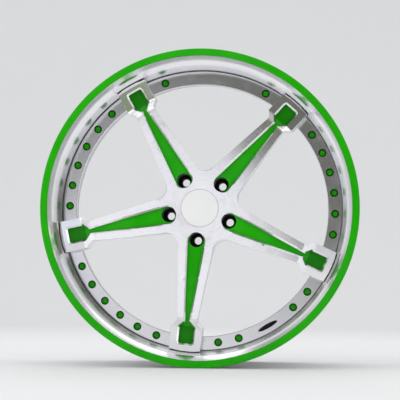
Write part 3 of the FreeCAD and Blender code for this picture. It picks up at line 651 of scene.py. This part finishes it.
def makeBolts():
    sizes = boltSizes
    star = starAt(sizes["head"], 12)
    top, tail = sizes["height"], -sizes["tail"]
    rows = [(radius, tail + rise, 0) for radius, rise in sizes["point"]]
    rows += threadRows(tail + 0.5, sizes["threadTop"], sizes["shank"], sizes["thread"], sizes["threadDeep"], 0)
    rows += [(radius, height, 0) for radius, height in sizes["neck"]]
    rows += [(sizes["flange"] + past, height, 1) for past, height in sizes["flangeEdge"]]
    rows += [(radius, height, 1) for radius, height in sizes["collar"]]
    rows += [(star, 2.15, 1), (star, top - 0.85, 1)]
    crown, drawn, rise = sizes["crown"]
    for step in range(6):
        share = step / 5
        rows.append((limited(star, crown - drawn * share), top - rise + rise * math.sin(share * math.pi / 2), 1))
    rows += [(radius, top - deep, 1) for radius, deep in sizes["dimple"]]
    bm = bmesh.new()
    for number, angle in enumerate(boltAngles()):
        place = Matrix.Translation(ringSpot(angle, sizes["seat"])) @ faceOut
        addTurned(bm, rows, sizes["segments"], place @ Matrix.Rotation(number * sizes["stops"], 4, "Z"), False)
    closePiece(bm, "assemblyBolts", ["zincPlate", "boltPaint"], 28, "green_bolts", "assembly_bolts")


nutSizes = {
    "corner": 7.2, "height": 6.5, "hole": 4.05, "seat": 115.4, "segments": 48, "stops": 0.83,
    "cone": (0.06, 0.16, 0.28, 0.42, 0.58), "coneEnd": 0.75, "coneSlope": 1.9, "endInset": 0.15,
    "leadWide": 0.45, "leadDeep": 0.6,
}


def nutRows(corner, height, hole):
    # a hexagon nut whose two ends are turned to a cone, with a lead-in at each end of its hole
    sizes = nutSizes
    hexagon = starAt(corner, 6)
    end = corner * math.cos(math.pi / 6) - sizes["endInset"]
    lead = hole + sizes["leadWide"]
    rows = [(hole, sizes["leadDeep"]), (lead, 0.0), (end, 0.0)]
    for rise in sizes["cone"]:
        rows.append((limited(hexagon, end + rise * sizes["coneSlope"]), rise))
    rows += [(hexagon, sizes["coneEnd"]), (hexagon, height - sizes["coneEnd"])]
    for rise in reversed(sizes["cone"]):
        rows.append((limited(hexagon, end + rise * sizes["coneSlope"]), height - rise))
    rows += [(end, height), (lead, height), (hole, height - sizes["leadDeep"])]
    return rows


def makeNuts():
    sizes = nutSizes
    rows = [(radius, -height, 0) for radius, height in nutRows(sizes["corner"], sizes["height"], sizes["hole"])]
    bm = bmesh.new()
    for number, angle in enumerate(boltAngles()):
        place = Matrix.Translation(ringSpot(angle, sizes["seat"])) @ faceOut
        addTurned(bm, rows, sizes["segments"], place @ Matrix.Rotation(number * sizes["stops"], 4, "Z"))
    closePiece(bm, "assemblyNuts", ["zincPlate"], 28, "plated_nuts", "assembly_nuts")


washerSizes = {"inner": 4.3, "outer": 7.8, "thick": 1.4, "rounds": (0.15, 0.3), "seat": 114.0, "segments": 40}


def ringProfile(inner, outer, low, high, rounds, steps=4):
    # rows of a flat ring with rounded edges
    small, large = rounds
    corners = [(inner, low, small), (outer, low, large), (outer, high, large), (inner, high, small)]
    return [(point.x, point.y, 0) for point in roundedLine(corners, True, steps)]


def makeWashers():
    sizes = washerSizes
    rows = ringProfile(sizes["inner"], sizes["outer"], 0.0, -sizes["thick"], sizes["rounds"])
    bm = bmesh.new()
    for angle in boltAngles():
        addTurned(bm, rows, sizes["segments"], Matrix.Translation(ringSpot(angle, sizes["seat"])) @ faceOut)
    closePiece(bm, "nutWashers", ["zincPlate"], 35, "plated_washers", "nut_washers")


makeBolts()
makeNuts()
makeWashers()

capSizes = {
    "radius": 35.2, "edge": 29.6, "crown": 1.2, "round": 0.8, "segments": 160,
    # radius and depth, from the edge's foot round the barbed skirt to the middle
    "skirt": [
        (35.2, 32.4), (34.7, 33.0), (30.8, 33.0), (30.8, 43.4), (32.0, 43.5), (30.8, 46.2),
        (29.0, 46.2), (29.0, 32.6), (28.4, 32.0), (0.0, 32.0),
    ],
}


def makeCap():
    # a low dome with a rolled edge, and a barbed skirt behind it
    sizes = capSizes
    rows = [(0.0, wheelHeight(sizes["edge"] - sizes["crown"]), 0)]
    for step in range(1, 25):
        radius = (sizes["radius"] - sizes["round"]) * step / 24
        rise = sizes["crown"] * (1 - (radius / sizes["radius"]) ** 2)
        rows.append((radius, wheelHeight(sizes["edge"] - rise), 0))
    for step in range(1, 9):
        turn = math.pi / 2 * step / 8
        edge = sizes["radius"] - sizes["round"] * (1 - math.sin(turn))
        rows.append((edge, wheelHeight(sizes["edge"] + sizes["round"] * (1 - math.cos(turn))), 0))
    rows += [(radius, wheelHeight(depth), 0) for radius, depth in sizes["skirt"]]
    bm = bmesh.new()
    addTurned(bm, rows, sizes["segments"], faceOut, False)
    closePiece(bm, "centreCap", ["whiteCap"], 40, "white_cap", "centre_cap")


makeCap()

badgeSizes = {
    "length": 42.0, "width": 9.4, "angle": 300.0, "segments": 96,
    # inset from the outline and height: the bright rim, then the sunk edge and the dome
    "rim": [(0.0, 0.0), (0.0, 0.9), (0.12, 1.15), (0.3, 1.22), (0.55, 1.15)],
    "dome": [(0.67, 0.95), (0.9, 1.0), (1.6, 1.28), (2.6, 1.46), (3.7, 1.57), (4.4, 1.6)],
}


def makeBadge():
    # a blank oval: bright rim, sunk edge and a low black dome
    sizes = badgeSizes
    half, narrow = sizes["length"] / 2, sizes["width"] / 2
    angle = math.radians(sizes["angle"])
    along = Matrix.Rotation(angle + math.pi / 2, 4, "Z")
    place = Matrix.Translation(ringSpot(angle, ringSizes["face"])) @ faceOut @ along
    bm = bmesh.new()
    made = []
    for inset, height in sizes["rim"] + sizes["dome"]:
        row = []
        for step in range(sizes["segments"]):
            turn = 2 * math.pi * step / sizes["segments"]
            across = Vector(((half - inset) * math.cos(turn), (narrow - inset) * math.sin(turn), height)) * mm
            row.append(bm.verts.new(place @ across))
        made.append(row)
    for i, (row, after) in enumerate(zip(made, made[1:])):
        joinRows(bm, row, after, 0 if i < len(sizes["rim"]) else 1)
    bm.faces.new(made[-1]).material_index = 1
    bm.faces.new(list(reversed(made[0])))
    closePiece(bm, "ovalBadge", ["badgeRim", "badgeBlack"], 50, "black_badge", "oval_badge")


makeBadge()

valveSizes = {
    "angle": 264.0, "depth": 129.0, "inside": 270.8, "outside": 275.3, "hole": 4.15,
    "stem": 4.0, "bore": 2.2, "tip": 235.8, "thread": (0.8, 0.4, 0.8), "head": 7.8, "headThick": 2.4,
    "seal": 8.6, "sealThick": 3.0, "sealNeck": 5.6, "washer": 7.6, "washerThick": 1.0, "washerRounds": (0.15, 0.25),
    "nut": 6.9, "nutHeight": 5.0, "segments": (40, 48),  # stem, and the rings round it
}

valveCapSizes = {
    "radius": 5.3, "end": 233.3, "length": 13.0, "ridges": 24, "ridgeDeep": 0.28, "ridgeInset": 1.9, "segments": 192,
    "tipLine": [(0.0, 0.0), (2.4, 0.0), (4.1, 0.12), (4.7, 0.5), (4.95, 1.2)],  # radius, and height over the end
    "skirtLine": [(4.95, 1.5), (5.3, 1.2), (5.3, 0.2), (5.1, 0.0), (4.15, 0.0)],  # radius, and depth under the top
}


def valvePlace():
    # the valve's own z points out from the axle line
    angle = math.radians(valveSizes["angle"])
    out = Vector((math.cos(angle), 0, math.sin(angle)))
    turn = out.to_track_quat("Z", "Y").to_matrix().to_4x4()
    return Matrix.Translation((0, (valveSizes["depth"] - halfWidth) * mm, 0)) @ turn


def makeStem(place, nutTop, head):
    sizes = valveSizes
    tip, wide, bore = sizes["tip"], sizes["head"], sizes["bore"]
    back = head + sizes["headThick"]
    pitch, deep, ease = sizes["thread"]
    rows = [(bore, tip + 0.3, 0), (2.6, tip, 0), (3.4, tip, 0)]
    rows += threadRows(tip + 0.1, nutTop + 0.5, sizes["stem"], pitch, deep, 0, ease)
    rows += [(sizes["stem"], head - 0.2, 0), (wide - 0.4, head, 0), (wide, head + 0.4, 0)]
    rows += [(wide, back - 0.5, 0), (wide - 0.5, back, 0), (2.7, back, 0), (bore, back - 0.5, 0)]
    bm = bmesh.new()
    addTurned(bm, rows, sizes["segments"][0], place)
    closePiece(bm, "valveStem", ["nickelBrass"], 35, "valve_brass", "valve_stem")


def makeValveRings(place, nutTop, head):
    # the rubber seal in the rim's hole, and the washer and nut inside
    sizes = valveSizes
    inside, outside, hole, neck = sizes["inside"], sizes["outside"], sizes["hole"], sizes["sealNeck"]
    segments = sizes["segments"][1]
    corners = [(hole, inside, 0), (neck, inside, 0), (neck, outside, 0)]
    corners += [(sizes["seal"], outside, 0.5), (sizes["seal"], head, 0.9), (hole, head, 0)]
    bm = bmesh.new()
    addTurned(bm, [(point.x, point.y, 0) for point in roundedLine(corners, True, 6)], segments, place)
    closePiece(bm, "valveSeal", ["valveRubber"], 35, "valve_rubber", "valve_seal")

    bm = bmesh.new()
    addTurned(bm, ringProfile(hole, sizes["washer"], nutTop, inside, sizes["washerRounds"]), segments, place)
    closePiece(bm, "valveWasher", ["zincPlate"], 35, "valve_steel", "valve_washer")

    low = nutTop - sizes["nutHeight"]
    rows = [(radius, low + height, 0) for radius, height in nutRows(sizes["nut"], sizes["nutHeight"], hole)]
    bm = bmesh.new()
    addTurned(bm, rows, segments, place)
    closePiece(bm, "valveNut", ["zincPlate"], 28, "valve_steel", "valve_nut")


def makeValveCap(place):
    sizes = valveCapSizes
    ridge = lambda angle: sizes["radius"] - sizes["ridgeDeep"] * (0.5 - 0.5 * math.cos(angle * sizes["ridges"]))
    end, top, inset = sizes["end"], sizes["end"] + sizes["length"], sizes["ridgeInset"]
    rows = [(radius, end + rise, 0) for radius, rise in sizes["tipLine"]]
    rows += [(ridge, end + inset, 0), (ridge, top - inset, 0)]
    rows += [(radius, top - deep, 0) for radius, deep in sizes["skirtLine"]]
    rows += [(valveSizes["hole"], valveSizes["tip"], 0), (0.0, valveSizes["tip"], 0)]
    bm = bmesh.new()
    addTurned(bm, rows, sizes["segments"], place, False)
    closePiece(bm, "valveCap", ["capPlastic"], 35, "valve_plastic", "valve_cap")


def makeValve():
    place = valvePlace()
    head = valveSizes["outside"] + valveSizes["sealThick"]
    nutTop = valveSizes["inside"] - valveSizes["washerThick"]
    makeStem(place, nutTop, head)
    makeValveRings(place, nutTop, head)
    makeValveCap(place)


makeValve()

carriedFinishes = {
    "inner_barrel": "spunBarrel", "joint_sealant": "sealantGrey",
    "cap_spring_ring": "springWire", "valve_core": "nickelBrass",
}
for nodeName, finishName in carriedFinishes.items():
    for materialSlot in nodes[nodeName].material_slots:
        materialSlot.material = finishes[finishName]
print("carried nodes finished")

stageSizes = {
    "floor": -0.2991, "near": -16.0, "wall": 4.4, "bend": 1.6, "side": 16.0, "top": 6.0,
    "tones": ((0.83, 0.835, 0.845, 1), (0.86, 0.865, 0.875, 1)), "roughness": 0.8,
    "haze": (2.6, 6.5), "far": (0.72, 0.725, 0.735, 1),  # far off, the stage fades into an even pale tone
}


def stageFinish():
    sizes = stageSizes
    finish, wire = newFinish("paleStage")
    point = pointOn(wire)
    colour = blendColours(noiseAt(wire, point, 2.0, 3.0), *sizes["tones"])
    sheet = wire.node("BsdfPrincipled", {}, {"Base Color": colour, "Roughness": sizes["roughness"]})
    distance = point.node("VectorMath", {"operation": "LENGTH"}, {0: point}, "Value")
    haze = wire.node("Emission", {}, {"Color": sizes["far"], "Strength": 1.0})
    share = distance.between(*sizes["haze"]) * seenRays(wire)
    wire.node("OutputMaterial", {}, {"Surface": wire.node("MixShader", {}, {0: share, 1: sheet, 2: haze})})
    return finish


def makeStage():
    # floor that sweeps up into a backdrop
    sizes = stageSizes
    line = [(sizes["near"], sizes["floor"])]
    for step in range(25):
        turn = math.pi / 2 * step / 24
        line.append((sizes["wall"] - sizes["bend"] * (1 - math.sin(turn)),
                     sizes["floor"] + sizes["bend"] * (1 - math.cos(turn))))
    line.append((sizes["wall"], sizes["top"]))
    bm = bmesh.new()
    rows = [[bm.verts.new((side, y, z)) for side in (-sizes["side"], sizes["side"])] for y, z in line]
    for (left, right), (nextLeft, nextRight) in zip(rows, rows[1:]):
        bm.faces.new((left, right, nextRight, nextLeft)).smooth = True
    mesh = bpy.data.meshes.new("paleStage")
    bm.to_mesh(mesh)
    bm.free()
    mesh.materials.append(stageFinish())
    stage = bpy.data.objects.new("paleStage", mesh)
    bpy.context.scene.collection.objects.link(stage)


makeStage()

lightSizes = {
    # place, size, power and colour
    "key": ((-2.2, -1.2, 1.5), 3.5, 31.0, (1.0, 1.0, 1.0)),
    "fill": ((2.7, -1.6, 1.2), 2.4, 14.0, (1.0, 0.985, 0.96)),
    "back": ((0.3, 1.1, 2.8), 3.0, 30.0, (1.0, 1.0, 1.0)),
}
lightAim = Vector((0.0, -0.1, 0.0))


def makeLights():
    for name, (place, size, power, colour) in lightSizes.items():
        lamp = bpy.data.lights.new(name, "AREA")
        lamp.size = size
        lamp.energy = power
        lamp.color = colour
        stand = bpy.data.objects.new(name, lamp)
        stand.location = place
        stand.visible_camera = False  # seen in the metal only
        stand.rotation_euler = (lightAim - Vector(place)).to_track_quat("-Z", "Y").to_euler()
        bpy.context.scene.collection.objects.link(stand)


roomSizes = {
    "plain": (0.70, 0.70, 0.70, 1),  # what lights the paint and the floor
    "bright": (0.95, 0.945, 0.985, 1), "brightLeft": (0.78, 0.82, 0.92, 1),
    "dim": (0.155, 0.16, 0.133, 1), "dimLeft": (0.26, 0.31, 0.21, 1),
    "side": (0.88, 0.88, 0.885, 1), "sideRight": (0.58, 0.57, 0.54, 1), "behindKey": (0.20, 0.205, 0.20, 1),
    "panelMiddle": 0.055,
}


def makeWorld():
    # pale room, shaped by direction, with x to the right and z up: in front it is bright low down, dim and warm above
    # and to the right, with a bright panel over the middle; at the sides and behind it is pale
    sizes = roomSizes
    world = bpy.data.worlds.new("paleRoom")
    world.use_nodes = True
    world.node_tree.nodes.clear()
    wire = Wire(world.node_tree)
    way = wire.node("TexCoord", {}, {}, "Generated")
    x = way.node("SeparateXYZ", {}, {"Vector": way})
    y, z, left = x.other("Y"), x.other("Z"), 0 - x

    above = z.between(0.126, 0.141)
    right = (x + z * 0.8).between(-0.002, 0.018)
    corner = (z - x * 1.14).between(0.243, 0.258) * z.between(0.04, 0.06)
    panel = z.between(0.20, 0.26) * (1 - (x + sizes["panelMiddle"]).apply("ABSOLUTE").between(0.09, 0.13))
    dim = above.apply("MAXIMUM", right).apply("MAXIMUM", corner) * (1 - panel)
    upperLeft = left.between(0.10, 0.16) * z.between(0.24, 0.30)
    bright = blendColours(left.between(0.10, 0.50), sizes["bright"], sizes["brightLeft"])
    front = blendColours(dim, bright, blendColours(upperLeft, sizes["dim"], sizes["dimLeft"]))

    pale = blendColours(z.between(0.02, 0.30), stageSizes["far"], sizes["side"])
    sides = blendColours(x.between(0.15, 0.45), pale, sizes["sideRight"])
    behindKey = left.between(0.12, 0.34) * z.between(0.20, 0.42)  # the key lamp adds its own light there
    sides = blendColours(behindKey, sides, sizes["behindKey"])

    room = blendColours(y.between(-0.85, -0.45), front, sides)
    seen = blendColours(seenRays(wire), sizes["plain"], room)
    light = wire.node("Background", {}, {"Color": seen, "Strength": 1.0})
    wire.node("OutputWorld", {}, {"Surface": light})
    bpy.context.scene.world = world


makeLights()
makeWorld()

cameraSizes = {
    "place": (0.180, -2.740, -0.157), "lookAt": (0.0025, -0.140, 0.0132), "roll": 0.45,
    "lens": 126.1, "sensor": 36.0, "reach": 40.0,
}


def makeCamera():
    sizes = cameraSizes
    lens = bpy.data.cameras.new("camera")
    lens.lens = sizes["lens"]
    lens.sensor_width = sizes["sensor"]
    lens.clip_end = sizes["reach"]
    camera = bpy.data.objects.new("camera", lens)
    camera.location = sizes["place"]
    aim = (Vector(sizes["lookAt"]) - Vector(sizes["place"])).to_track_quat("-Z", "Y").to_matrix()
    roll = Matrix.Rotation(math.radians(sizes["roll"]), 3, "Z")
    camera.rotation_euler = (aim @ roll).to_euler()
    bpy.context.scene.collection.objects.link(camera)
    bpy.context.scene.camera = camera


makeCamera()
bpy.context.scene.view_settings.view_transform = "Standard"
print("stage, lights and camera set")
